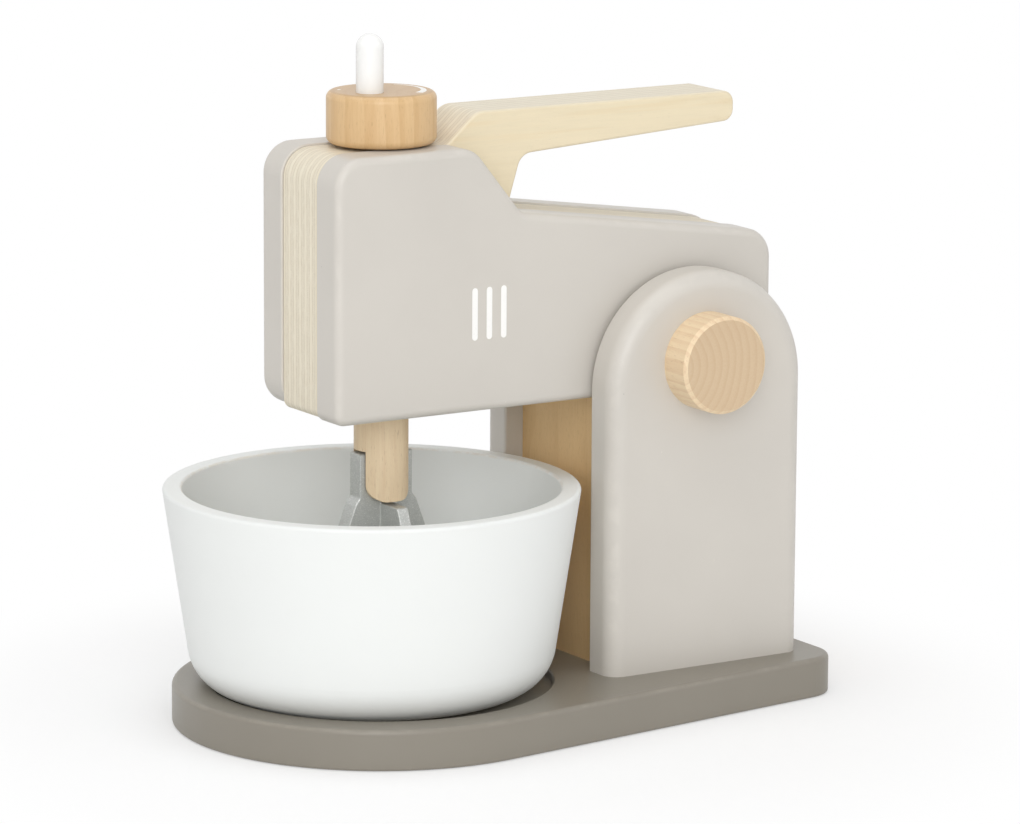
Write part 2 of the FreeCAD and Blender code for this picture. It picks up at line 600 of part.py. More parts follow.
def make_core():
    """Plywood core of the head with the handle in one piece, bored for the shaft and the axle."""
    body = doc.addObject("PartDesign::Body", "core_board")
    handle_top = HEAD_TOP + " + handle_rise"
    rear_fall = "( tail_drop - saddle_drop ) * ( neck_foot - saddle_back ) / ( %s - saddle_back )" % TAIL_X
    top_path = [("handle_foot", HEAD_TOP + " - core_inset"),
                ("handle_front", handle_top),
                ("handle_end", handle_top),
                ("handle_end", handle_top + " - handle_end_thick"),
                ("handle_root", handle_top + " - handle_root_thick"),
                ("neck_foot", "%s - saddle_drop - %s - core_inset" % (HEAD_TOP, rear_fall))]
    sketch = polygon_sketch(body, "XZ_Plane", "core_outline", head_corners(" + core_inset", top_path))
    pad(body, sketch, "core_pad", "core_thick", both_ways=True)
    inset = size("core_inset")
    low, high = head_low + inset, head_top - inset
    crest = head_top + size("handle_rise")
    round_corners(body, [
        ("core_nose_low", -size("head_front") + inset, low, "nose_low_corner - core_inset"),
        ("core_nose_high", -size("head_front") + inset, high, "nose_corner - core_inset"),
        ("handle_foot_hollow", size("handle_foot"), high, "foot_round"),
        ("handle_front_corner", size("handle_front"), crest, "front_round"),
        ("handle_end_top", size("handle_end"), crest, "end_round"),
        ("handle_end_low", size("handle_end"), crest - size("handle_end_thick"), "end_round"),
        ("handle_root_hollow", size("handle_root"), crest - size("handle_root_thick"), "root_round"),
        ("core_tail", tail_x - inset, high + inset - size("tail_drop") - inset, "tail_corner - core_inset"),
        ("core_heel", tail_x - inset, low, "heel_corner - core_inset")])
    half_core = size("core_thick") / 2
    dress(body, "Fillet", "core_edges", "core_ease",
          lambda edge: face_edge_test(half_core)(edge) or face_edge_test(-half_core)(edge))
    tools = [cylinder("core_shaft_bore", "shaft_dia / 2 + running_gap", "head_tall * 2", "0", "0",
                      HEAD_LOW + " - head_tall / 2"),
             cylinder("core_axle_bore", "axle_dia / 2 + running_gap", "core_thick * 2", PIVOT_X,
                      "0 - core_thick", PIVOT_Z, along_y=True),
             cylinder("core_keeper_hole", "keeper_dia / 2 + glue_gap", "core_thick * 2",
                      "shaft_dia / 2 - keeper_bite + keeper_dia / 2", "0 - core_thick",
                      HEAD_TOP + " - keeper_low", along_y=True)]
    tools += head_pin_holes("core", "0 - core_thick", "core_thick * 2")
    return keep(cut("head_core_cut", body, tools), "head_core")


def make_pivot():
    """Axle glued into the uprights, its two round end caps, and the washers beside the head."""
    reach = "( %s + board_thick + cap_bore )" % COLUMN_GAP_HALF
    keep(cylinder("axle_dowel", "axle_dia / 2", "2 * " + reach, PIVOT_X, "0 - " + reach, PIVOT_Z,
                  along_y=True), "pivot_axle")
    face = "( %s + board_thick )" % COLUMN_GAP_HALF
    for side, sign in (("near", -1), ("far", 1)):
        start = "0 - %s - cap_long" % face if sign < 0 else face
        disc = cylinder(side + "_cap_disc", "cap_dia / 2", "cap_long", PIVOT_X, start, PIVOT_Z,
                        along_y=True)
        doc.recompute()
        outer = sign * (gap_half + size("board_thick") + size("cap_long"))
        rim = doc.addObject("Part::Chamfer", side + "_cap_rim")
        rim.Base = disc
        number = [i + 1 for i, edge in enumerate(disc.Shape.Edges)
                  if len(edge.Vertexes) == 1 and abs(edge.Vertexes[0].Point.y - outer) < 1e-6][0]
        rim.Edges = [(number, size("cap_chamfer"), size("cap_chamfer"))]
        bore_start = "0 - %s - cap_bore - glue_gap" % face if sign < 0 else "%s - cap_bore" % face
        bore = cylinder(side + "_cap_bore", "axle_dia / 2 + glue_gap", "cap_bore * 2 + glue_gap", PIVOT_X,
                        bore_start, PIVOT_Z, along_y=True)
        keep(cut(side + "_cap_cut", rim, [bore]), side + "_pivot_cap")
        seat = "( %s )" % COLUMN_GAP_HALF
        ring_start = "0 - " + seat if sign < 0 else seat + " - washer_thick"
        ring = cylinder(side + "_washer_disc", "washer_dia / 2", "washer_thick", PIVOT_X, ring_start,
                        PIVOT_Z, along_y=True)
        hole = cylinder(side + "_washer_hole", "axle_dia / 2 + glue_gap", "washer_thick * 3", PIVOT_X,
                        ring_start + " - washer_thick", PIVOT_Z, along_y=True)
        keep(cut(side + "_washer_cut", ring, [hole]), side + "_washer")


def make_crank():
    """Knob with its peg, the shaft with its keeper groove and slotted end, and the keeper pin in the core."""
    body = doc.addObject("PartDesign::Body", "knob_disc")
    sketch = polygon_sketch(body, "XZ_Plane", "knob_half", [
        ("0", KNOB_LOW), ("knob_dia / 2", KNOB_LOW), ("knob_dia / 2", KNOB_TOP), ("0", KNOB_TOP)])
    turned = body.newObject("PartDesign::Revolution", "knob_turned")
    turned.Profile = sketch
    turned.ReferenceAxis = (sketch, ["V_Axis"])
    turned.Angle = 360
    sketch.Visibility = False
    doc.recompute()
    knob_low = head_top + size("knob_gap")
    knob_high = knob_low + size("knob_thick")
    dress(body, "Fillet", "knob_edges", "knob_round",
          lambda edge: (level_edge_test(knob_low)(edge) or level_edge_test(knob_high)(edge))
          and math.hypot(middle(edge).x, middle(edge).y) > size("knob_dia") / 2 - 1e-3)
    tenon_hole = cylinder("knob_tenon_hole", "tenon_dia / 2 + glue_gap", "tenon_long + glue_gap + knob_gap",
                          "0", "0", KNOB_LOW + " - knob_gap")
    peg_hole = cylinder("knob_peg_hole", "peg_dia / 2 + glue_gap", "peg_bore * 2", "0 - peg_forward",
                        "0 - peg_side",
                        KNOB_TOP + " - peg_bore - glue_gap")
    keep(cut("crank_knob_cut", body, [tenon_hole, peg_hole]), "crank_knob")

    rod = cylinder("peg_rod", "peg_dia / 2", "peg_bore + peg_tall - peg_dia / 2", "0 - peg_forward",
                   "0 - peg_side", KNOB_TOP + " - peg_bore")
    ball = doc.addObject("Part::Sphere", "peg_top")
    bind(ball, Radius="peg_dia / 2")
    place(ball, "0 - peg_forward", "0 - peg_side", KNOB_TOP + " + peg_tall - peg_dia / 2")
    keep(fuse("peg_fuse", [rod, ball]), "crank_peg")

    rod = cylinder("shaft_rod", "shaft_dia / 2", "shaft_drop + head_tall", "0", "0", SHAFT_LOW)
    tenon = cylinder("shaft_tenon", "tenon_dia / 2", "knob_gap + tenon_long", "0", "0", HEAD_TOP)
    stick = fuse("shaft_stick", [rod, tenon])
    groove_low = HEAD_TOP + " - keeper_low - keeper_dia / 2 - keeper_gap"
    groove_tall = "keeper_dia + 2 * keeper_gap"
    groove_ring = cut("shaft_groove", cylinder("groove_outer", "shaft_dia", groove_tall, "0", "0",
                                               groove_low),
                      [cylinder("groove_inner", "shaft_dia / 2 - keeper_bite - keeper_gap", groove_tall,
                                "0", "0", groove_low)])
    slot = block("shaft_slot", "shaft_dia * 2", "slot_wide", "slot_tall * 2", "0 - shaft_dia",
                 "0 - slot_wide / 2", SHAFT_LOW + " - slot_tall")
    slotted = cut("shaft_slotted", stick, [groove_ring, slot])
    half_chord = "sqrt ( shaft_dia * shaft_dia / 4 - slot_wide * slot_wide / 4 )"
    tall_box = block("cheek_tall", "shaft_dia * 2", "shaft_dia * 2", "shaft_drop + head_tall * 2",
                     "0 - shaft_dia", "0 - shaft_dia",
                     SHAFT_LOW + " + cheek_corner")
    low_box = block("cheek_low", "2 * ( %s - cheek_corner )" % half_chord, "shaft_dia * 2", "shaft_drop",
                    "cheek_corner - " + half_chord,
                    "0 - shaft_dia", SHAFT_LOW)
    rounds = [cylinder("cheek_round_%s" % end, "cheek_corner", "shaft_dia * 2", x, "0 - shaft_dia",
                       SHAFT_LOW + " + cheek_corner", along_y=True)
              for end, x in (("front", "cheek_corner - " + half_chord),
                             ("rear", half_chord + " - cheek_corner"))]
    envelope = fuse("cheek_envelope", [tall_box, low_box] + rounds)
    keep(common("shaft_common", slotted, envelope), "crank_shaft")

    keep(cylinder("keeper_rod", "keeper_dia / 2", "core_thick",
                  "shaft_dia / 2 - keeper_bite + keeper_dia / 2", "0 - core_thick / 2",
                  HEAD_TOP + " - keeper_low", along_y=True), "shaft_keeper_pin")


def make_beater():
    """Plug-in beater: a shouldered plate that fills the slot, crossed by a fin below the shaft's end."""
    body = doc.addObject("PartDesign::Body", "beater_blades")
    bottom = BOWL_LOW + " + bowl_floor + beater_floor_gap"
    wide_top = SHAFT_LOW + " - paddle_low"
    plate = [("plate_half", SHAFT_LOW + " + slot_tall - prong_gap"),
             ("plate_half", SHAFT_LOW + " + fin_low"),
             ("flare_half", SHAFT_LOW + " - fin_low"), ("paddle_half", wide_top), ("paddle_half",
                     wide_top + " - paddle_tall"),
             ("tip_half", bottom)]
    fin = [("fin_half_top", SHAFT_LOW + " - fin_low"), ("fin_half", wide_top),
           ("fin_half", wide_top + " - paddle_tall"), ("tip_half", bottom)]
    for name, role, half, thick in (("plate", "XZ_Plane", plate, "plate_thick"),
                                    ("fin", "YZ_Plane", fin, "fin_thick")):
        mirrored = [("0 - " + across, up) for across, up in reversed(half)]
        sketch = polygon_sketch(body, role, "beater_%s_outline" % name, half + mirrored)
        pad(body, sketch, "beater_%s_pad" % name, thick, both_ways=True)
    top = head_low - size("shaft_drop") + size("slot_tall") - size("prong_gap")
    dress(body, "Fillet", "beater_edges", "beater_ease", level_edge_test(top))
    return keep(body, "beater")


def make_bowl():
    """Bowl with a leaning wall, a rounded foot and a rounded rim, turned about its own axis."""
    body = doc.addObject("PartDesign::Body", "bowl_turned_body")
    lean = "( bowl_rim_radius - bowl_foot_radius ) / bowl_tall"
    inner_low = "bowl_foot_radius - bowl_wall + %s * bowl_floor" % lean
    sketch = polygon_sketch(body, "XZ_Plane", "bowl_half", [
        ("0", BOWL_LOW), ("bowl_foot_radius", BOWL_LOW), ("bowl_rim_radius", BOWL_LOW + " + bowl_tall"),
        ("bowl_rim_radius - bowl_wall", BOWL_LOW + " + bowl_tall"), (inner_low, BOWL_LOW + " + bowl_floor"),
        ("0", BOWL_LOW + " + bowl_floor")])
    turned = body.newObject("PartDesign::Revolution", "bowl_turned")
    turned.Profile = sketch
    turned.ReferenceAxis = (sketch, ["V_Axis"])
    turned.Angle = 360
    sketch.Visibility = False
    doc.recompute()
    low = base_top - size("recess_deep") + size("seat_gap")

    def ring_at(z, radius):
        return lambda edge: level_edge_test(z)(edge) and abs(math.hypot(middle(edge).x,
                middle(edge).y) - radius) < 1e-3
    slope = (size("bowl_rim_radius") - size("bowl_foot_radius")) / size("bowl_tall")
    inner = size("bowl_foot_radius") - size("bowl_wall") + slope * size("bowl_floor")
    dress(body, "Fillet", "bowl_foot", "bowl_corner", ring_at(low, size("bowl_foot_radius")))
    dress(body, "Fillet", "bowl_inside", "bowl_corner - bowl_wall",
          ring_at(low + size("bowl_floor"), inner))
    dress(body, "Fillet", "bowl_rim", "bowl_rim_round", level_edge_test(low + size("bowl_tall")))
    place(body, "0 - bowl_forward", "bowl_side", "0")
    return keep(body, "bowl")


def make_hidden_fasteners():
    """Dowel pins that join the boards, and the screws that hold the column to the base."""
    pins = [cylinder("head_pin_" + where, "pin_dia / 2", "core_thick + 2 * pin_bite",
                     "headpin_%s_back" % where,
                     "0 - core_thick / 2 - pin_bite", HEAD_LOW + " + headpin_%s_high" % where, along_y=True)
            for where, x, z in HEAD_PIN_PLACES]
    head = doc.addObject("Part::Compound", "head_pin_group")
    head.Links = pins
    keep(head, "head_dowel_pins")
    pins = []
    for where, x, z in COLUMN_PIN_PLACES:
        for side, start in (("near", "0 - ( %s ) - pin_bite" % COLUMN_GAP_HALF),
                            ("far", "( %s ) - pin_block_bite + glue_gap" % COLUMN_GAP_HALF)):
            pins.append(cylinder("column_pin_%s_%s" % (side, where), "pin_dia / 2",
                                 "pin_bite + pin_block_bite - glue_gap",
                                 "columnpin_%s_back" % where, start,
                                 "base_thick + columnpin_%s_high" % where, along_y=True))
    column = doc.addObject("Part::Compound", "column_pin_group")
    column.Links = pins
    keep(column, "column_dowel_pins")
    screws = []
    for side, cells, y in SCREW_ROWS:
        screws += make_screw_set("screw_%s_" % side, cells, y, False)
    group = doc.addObject("Part::Compound", "screw_group")
    group.Links = screws
    keep(group, "base_screws")


make_base()
make_upright("near", -1)
make_upright("far", 1)
make_block()
make_core()
make_panel("near", -1)
make_panel("far", 1)
make_pivot()
make_crank()
make_beater()
make_bowl()
make_hidden_fasteners()
doc.recompute()

# Nothing is written unless every object and every sub-part is sound
for obj in doc.Objects:
    if "Invalid" in obj.State or "Error" in obj.State:
        raise RuntimeError("%s is not sound: %s" % (obj.Label, obj.State))
for obj in kept:
    if obj.Shape.isNull() or not obj.Shape.isValid():
        raise RuntimeError("%s has no valid shape" % obj.Label)

os.makedirs("parts", exist_ok=True)
for obj in kept:
    obj.Shape.exportStep("parts/%s.step" % obj.Label)
    box = obj.Shape.BoundBox
    print("%-18s %2d solid  x %.1f..%.1f  y %.1f..%.1f  z %.1f..%.1f  %.0f mm3" % (
        obj.Label, len(obj.Shape.Solids), box.XMin, box.XMax, box.YMin, box.YMax,
        box.ZMin, box.ZMax, obj.Shape.Volume))
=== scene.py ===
"""Finishes, printed marks, beater and studio for a wooden toy stand mixer.

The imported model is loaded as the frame. Each operator finishes one piece or a group of like
pieces: the base and column, the head with its handle, the printed marks, the pivot, the crank,
the beater, the bowl and the fasteners. Shapes are in metres and the patterns of the finishes in
millimetres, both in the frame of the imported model.
"""

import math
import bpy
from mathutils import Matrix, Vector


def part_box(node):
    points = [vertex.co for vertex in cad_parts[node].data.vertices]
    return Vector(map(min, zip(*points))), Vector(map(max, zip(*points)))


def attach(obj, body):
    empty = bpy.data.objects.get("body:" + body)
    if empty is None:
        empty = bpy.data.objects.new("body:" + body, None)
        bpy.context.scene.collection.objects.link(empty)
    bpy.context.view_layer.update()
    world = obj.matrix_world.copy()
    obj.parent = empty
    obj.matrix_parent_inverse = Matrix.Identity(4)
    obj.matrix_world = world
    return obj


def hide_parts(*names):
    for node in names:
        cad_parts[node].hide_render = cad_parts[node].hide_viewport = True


bl_info = {
    "name": "Toy Stand Mixer Finishes",
    "version": (1, 0, 0),
    "blender": (4, 5, 0),
    "location": "View3D > Sidebar > Toy Mixer",
    "description": "Painted boards, plywood, dowels, beater and bowl of a wooden toy stand mixer",
    "category": "Object",
}

import bmesh
import bpy
from bpy.props import FloatProperty, FloatVectorProperty, IntProperty, PointerProperty
from mathutils import Matrix, Vector

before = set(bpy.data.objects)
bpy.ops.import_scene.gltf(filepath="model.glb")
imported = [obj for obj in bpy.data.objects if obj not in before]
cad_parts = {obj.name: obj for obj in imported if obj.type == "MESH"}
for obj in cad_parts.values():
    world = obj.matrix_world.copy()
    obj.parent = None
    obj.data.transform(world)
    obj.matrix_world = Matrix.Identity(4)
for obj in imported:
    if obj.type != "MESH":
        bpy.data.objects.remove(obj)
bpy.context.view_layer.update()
MM = 0.001
X, Y, Z = range(3)

# Sockets of a Mix node that mixes colours
MIX_SHARE, MIX_FIRST, MIX_SECOND, MIX_RESULT = 0, 6, 7, 2

# Ends of the stripes, the arc on the knob from its point to its wide end, and the dot
STRIPE_STEPS = 12
DIAL_START, DIAL_END, DIAL_STEPS = math.radians(42), math.radians(-58), 32
DIAL_POINT = 0.10
DOT_TURN, DOT_SHARE, DOT_SIDES = math.radians(150), 0.24, 20

# Beater: how close points are welded, and the turns under which an edge is flat or stays sharp
WELD = 0.00001
FLAT_TURN, BEVEL_TURN = math.radians(2), math.radians(12)
BEVEL_SEGMENTS = 3

# Lamps with the name of their power, their place and their size, and what they point at
LAMP_AIM = (0.03, 0.0, 0.09)
LAMPS = (
    ("key_lamp", "key_power", (-1.00, -1.62, 0.88), 1.4),
    ("fill_lamp", "fill_power", (1.35, -1.45, 0.85), 1.3),
    ("top_lamp", "top_power", (-0.25, -0.15, 1.60), 1.3),
)

# Camera's sensor in millimetres, and what it sees in metres
SENSOR_WIDTH = 36.0
SEEN_FROM, SEEN_TO = 0.05, 50.0

# Floor in metres, where its glow starts and is full in millimetres from a middle on X, and its
# least glow, painted light that lightens its shadows beside the mixer
FLOOR_HALF, FLOOR_CELLS, FLOOR_DROP = 6.0, 8, 0.0002
GLOW_MIDDLE, GLOW_START, GLOW_FULL, GLOW_LEAST = 35.0, 95.0, 190.0, 0.4


def tint(red, green, blue):
    """A screen colour, each part from 0 to 255, as the linear colour that a shader takes."""
    parts = []
    for part in (red, green, blue):
        share = part / 255
        parts.append(share / 12.92 if share <= 0.04045 else ((share + 0.055) / 1.055) ** 2.4)
    return tuple(parts)


def colour_property(name, description, red, green, blue):
    """A colour that a user can change."""
    return FloatVectorProperty(name=name, description=description, default=tint(red, green, blue),
                               subtype="COLOR", size=3, min=0.0, max=1.0)


def length_property(name, description, default):
    """A length that a user can change, in metres."""
    return FloatProperty(name=name, description=description, default=default, unit="LENGTH")


def turn_property(name, description, degrees):
    """A turn that a user can change."""
    return FloatProperty(name=name, description=description, default=math.radians(degrees),
                         subtype="ANGLE")


def power_property(name, description, watts):
    """The power of a lamp."""
    return FloatProperty(name=name, description=description, default=watts, unit="POWER")


class ToyMixerFinishes(bpy.types.PropertyGroup):
    """Colours of the paints and woods."""
    head_paint: colour_property(
        "Head paint", "Satin paint of the head's panels and the uprights", 208, 203, 195)
    base_paint: colour_property("Base paint", "Satin paint of the base", 138, 132, 121)
    bowl_paint: colour_property("Bowl paint", "Matt paint of the bowl", 238, 240, 238)
    mark_paint: colour_property(
        "Printed marks", "Paint of the stripes and the knob's mark", 250, 249, 246)
    peg_paint: colour_property("Peg paint", "Gloss paint of the crank's peg", 247, 247, 245)
    ply_face: colour_property(
        "Ply, face veneer", "Face veneer of the core and handle", 234, 220, 189)
    ply_light: colour_property("Ply, long grain", "Light plies of the core", 238, 230, 210)
    ply_dark: colour_property("Ply, cross grain", "Darker plies of the core", 226, 216, 195)
    glue_line: colour_property("Glue line", "Thin lines between the plies", 190, 172, 142)
    knob_early: colour_property(
        "Knob, early wood", "Light wood of the crank's knob", 222, 188, 140)
    knob_late: colour_property(
        "Knob, late wood", "Growth lines of the crank's knob", 199, 156, 102)
    dowel_early: colour_property("Dowel, early wood", "Light wood of the dowels", 240, 218, 183)
    dowel_late: colour_property("Dowel, late wood", "Growth lines of the dowels", 217, 181, 143)
    block_early: colour_property(
        "Block, early wood", "Light wood of the column's block", 230, 196, 145)
    block_late: colour_property(
        "Block, late wood", "Growth lines of the column's block", 212, 173, 120)
    silver: colour_property("Beater", "Silver of the beater", 197, 199, 196)
    nylon: colour_property("Washer", "Nylon of the pivot's washers", 236, 233, 224)
    zinc: colour_property("Steel", "Zinc-plated screws and keeper pin", 176, 176, 174)


class ToyMixerSizes(bpy.types.PropertyGroup):
    """Sizes of the marks, the plies, the bowl's rim and the beater's edges."""
    plies: IntProperty(
        name="Plies", description="Layers in the plywood core", default=13, min=3, max=25)
    stripe_places: FloatVectorProperty(
        name="Stripes", description="Distance of each stripe behind the shaft axis",
        default=(0.0184, 0.0233, 0.0282), size=3, unit="LENGTH", subtype="NONE")
    stripe_low: length_property("Stripe foot", "Height of the stripes' lower ends", 0.1147)
    stripe_high: length_property("Stripe top", "Height of the stripes' upper ends", 0.1301)
    stripe_width: length_property("Stripe width", "Width of a stripe", 0.00185)
    print_thick: length_property("Print", "Thickness of a printed mark", 0.00004)
    dial_radius: length_property("Dial radius", "Radius of the mark on the knob", 0.0122)
    dial_width: length_property("Dial width", "Width of that mark at its wide end", 0.0022)
    bowl_wall: length_property("Bowl wall", "Thickness of the bowl's rim", 0.0058)
    beater_bevel: length_property("Beater edges", "Rounding of the beater's edges", 0.00045)


class ToyMixerStage(bpy.types.PropertyGroup):
    """Camera and lamps."""
    camera_place: FloatVectorProperty(
        name="Camera", description="Place of the camera", default=(-0.7994, -1.3399, 0.4031),
        size=3, unit="LENGTH", subtype="TRANSLATION")
    camera_yaw: turn_property("Yaw", "Turn of the camera from +Y towards +X", 32.20)
    camera_pitch: turn_property("Pitch", "How far the camera looks down", 11.28)
    camera_roll: turn_property("Roll", "Tilt of the camera about its own axis", 0.32)
    camera_lens: FloatProperty(
        name="Lens", description="Focal length on a 36 mm wide sensor, in millimetres",
        default=192.70)
    world_level: FloatProperty(
        name="World", description="Strength of the even light from all round", default=0.60)
    key_power: power_property("Key lamp", "Power of the large lamp at the front", 14.9)
    fill_power: power_property("Fill lamp", "Power of the lamp at the right", 1.6)
    top_power: power_property("Top lamp", "Power of the lamp above", 5.6)


class Value:
    """An output of a node. Sums with numbers or other values add Math nodes."""

    def __init__(self, nodes, socket):
        self.nodes = nodes
        self.socket = socket

    def joined(self, operation, first, second):
        """A Math node on two numbers or values."""
        return self.nodes.node("ShaderNodeMath", {"operation": operation}, {0: first, 1: second})

    def larger(self, other):
        """The larger of two values."""
        return self.joined("MAXIMUM", self, other)

    def __add__(self, other):
        return self.joined("ADD", self, other)

    def __radd__(self, other):
        return self.joined("ADD", other, self)

    def __sub__(self, other):
        return self.joined("SUBTRACT", self, other)

    def __rsub__(self, other):
        return self.joined("SUBTRACT", other, self)

    def __mul__(self, other):
        return self.joined("MULTIPLY", self, other)

    def __rmul__(self, other):
        return self.joined("MULTIPLY", other, self)

    def __truediv__(self, other):
        return self.joined("DIVIDE", self, other)

    def __pow__(self, other):
        return self.joined("POWER", self, other)

    def __mod__(self, other):
        return self.joined("FLOORED_MODULO", self, other)

    def __abs__(self):
        return self.nodes.node("ShaderNodeMath", {"operation": "ABSOLUTE"}, {0: self})


class Nodes:
    """An empty node tree, and the method that fills it."""

    def __init__(self, tree):
        self.tree = tree
        tree.nodes.clear()

    def node(self, kind, settings, sockets, output=0):
        """Add a node, give it its settings and then its sockets, and return one output if any."""
        made = self.tree.nodes.new(kind)
        for name, value in settings.items():
            if name == "stops":
                elements = made.color_ramp.elements
                while len(elements) < len(value):
                    elements.new(0.5)
                for element, (position, shade) in zip(elements, value):
                    element.position = position
                    element.color = (shade, shade, shade, 1.0)
            else:
                setattr(made, name, value)
        for key, value in sockets.items():
            if isinstance(value, Value):
                self.tree.links.new(value.socket, made.inputs[key])
            elif hasattr(value, "__len__") and len(made.inputs[key].default_value) == 4:
                made.inputs[key].default_value = (*value[:3], 1.0)
            else:
                made.inputs[key].default_value = value
        return Value(self, made.outputs[output]) if made.outputs else None

    def outputs(self, kind, sockets, names):
        """Add a node and return several of its outputs."""
        made = self.node(kind, {}, sockets).socket.node
        return [Value(self, made.outputs[name]) for name in names]

    def parts(self, vector):
        """The three parts of a vector."""
        return self.outputs("ShaderNodeSeparateXYZ", {0: vector}, (X, Y, Z))


class Finish(Nodes):
    """A material made of nodes, with its patterns in millimetres in the frame of the model."""

    def __init__(self, name):
        self.material = bpy.data.materials.new(name)
        self.material.use_nodes = True
        super().__init__(self.material.node_tree)
        metres = self.node("ShaderNodeTexCoord", {}, {}, "Object")
        self.place = self.node("ShaderNodeVectorMath", {"operation": "SCALE"},
                               {0: metres, "Scale": 1 / MM})
        self.facing = self.node("ShaderNodeTexCoord", {}, {}, "Normal")

    def stretched(self, along_x, along_y, along_z, seed):
        """The place scaled by a share along each axis, and moved by a seed."""
        scaled = self.node("ShaderNodeVectorMath", {"operation": "MULTIPLY"},
                           {0: self.place, 1: (along_x, along_y, along_z)})
        return self.node("ShaderNodeVectorMath", {"operation": "ADD"},
                         {0: scaled, 1: (seed, seed * 0.7, -seed * 1.3)})

    def even(self, share, seed):
        """The place scaled alike along every axis, and moved by a seed."""
        return self.stretched(share, share, share, seed)

    def cloud(self, vector, detail=2.0, rough=0.5, output=0):
        """Soft noise from 0 to 1 with a middle of about 0.5."""
        return self.node("ShaderNodeTexNoise", {"noise_dimensions": "3D"},
                         {"Vector": vector, "Scale": 1.0, "Detail": detail, "Roughness": rough},
                         output)

    def cells(self, vector, output):
        """Scattered cells: their distance or their random colour."""
        return self.node("ShaderNodeTexVoronoi", {"feature": "F1"},
                         {"Vector": vector, "Scale": 1.0}, output)

    def between(self, value, low, high):
        """0 below low, 1 above high, smooth between."""
        return self.node("ShaderNodeMapRange", {"interpolation_type": "SMOOTHSTEP", "clamp": True},
                         {"Value": value, "From Min": low, "From Max": high,
                          "To Min": 0.0, "To Max": 1.0})

    def spots(self, share, seed, core, rim):
        """Scattered round spots: 1 inside their core, 0 outside their rim."""
        return 1.0 - self.between(self.cells(self.even(share, seed), "Distance"), core, rim)

    def mixed(self, share, first, second):
        """A colour between two colours."""
        return self.node("ShaderNodeMix", {"data_type": "RGBA", "clamp_factor": True},
                         {MIX_SHARE: share, MIX_FIRST: first, MIX_SECOND: second}, MIX_RESULT)

    def bump(self, height, depth):
        """A normal from a height; depth is in millimetres."""
        return self.node("ShaderNodeBump", {},
                         {"Height": height, "Strength": 1.0, "Distance": depth * MM})

    def shader(self, colour, roughness, normal=None, metallic=0.0, coat=0.0, coat_roughness=0.2,
               specular=0.5):
        """The surface's shader."""
        sockets = {"Base Color": colour, "Roughness": roughness, "Metallic": metallic,
                   "Coat Weight": coat, "Coat Roughness": coat_roughness,
                   "Specular IOR Level": specular}
        if normal is not None:
            sockets["Normal"] = normal
        return self.node("ShaderNodeBsdfPrincipled", {}, sockets)

    def surface(self, shader):
        """Give the material its shader and return the material."""
        self.node("ShaderNodeOutputMaterial", {}, {"Surface": shader})
        return self.material

    def finish(self, colour, roughness, normal, **others):
        """Join the results to a shader and return the material."""
        return self.surface(self.shader(colour, roughness, normal, **others))


def reach(first, second):
    """Distance from a line, from the two parts across it."""
    return (first * first + second * second) ** 0.5


def shaded(colour, amount):
    """A colour made lighter, above 1, or darker."""
    return tuple(min(1.0, part * amount) for part in colour)


def painted(name, colour, seed, edge_tint=1.04, flat_axis=Y):
    """Sprayed satin paint on a board whose wide faces look along the flat axis: a fine peel, faint
    grain below it, thin paint on the rounded edges and a few nibs and specks of dust."""
    coat = Finish(name)
    drift = coat.cloud(coat.even(0.02, seed), detail=3.0)
    hue = coat.mixed(coat.between(drift, 0.3, 0.7), shaded(colour, 0.975), shaded(colour, 1.015))
    across = abs(coat.parts(coat.facing)[flat_axis])
    edge = coat.between(across, 0.25, 0.6) * (1.0 - coat.between(across, 0.82, 0.985))
    patch = coat.between(coat.cloud(coat.even(0.12, seed + 3), 4.0, 0.6), 0.42, 0.66)
    worn = coat.mixed(edge * patch, hue, shaded(colour, edge_tint))
    nib = coat.spots(0.11, seed + 7, core=0.012, rim=0.026)
    speck = coat.mixed(nib * 0.5, worn, shaded(colour, 1.3))
    dust = coat.spots(0.07, seed + 11, core=0.008, rim=0.016)
    final = coat.mixed(dust * 0.55, speck, shaded(colour, 0.5))
    pores = coat.cloud(coat.even(0.9, seed))
    grain = coat.cloud(coat.stretched(0.55, 0.9, 0.035, seed + 5), detail=3.0)
    height = pores * 0.75 + grain * 0.25 + nib * 2.0
    shine = 0.31 + drift * 0.06 + pores * 0.05
    return coat.finish(final, shine, coat.bump(height, depth=0.010))


def along_grain(axis, along, across):
    """Shares for a pattern that is drawn out along one axis."""
    return [along if i == axis else across for i in (X, Y, Z)]


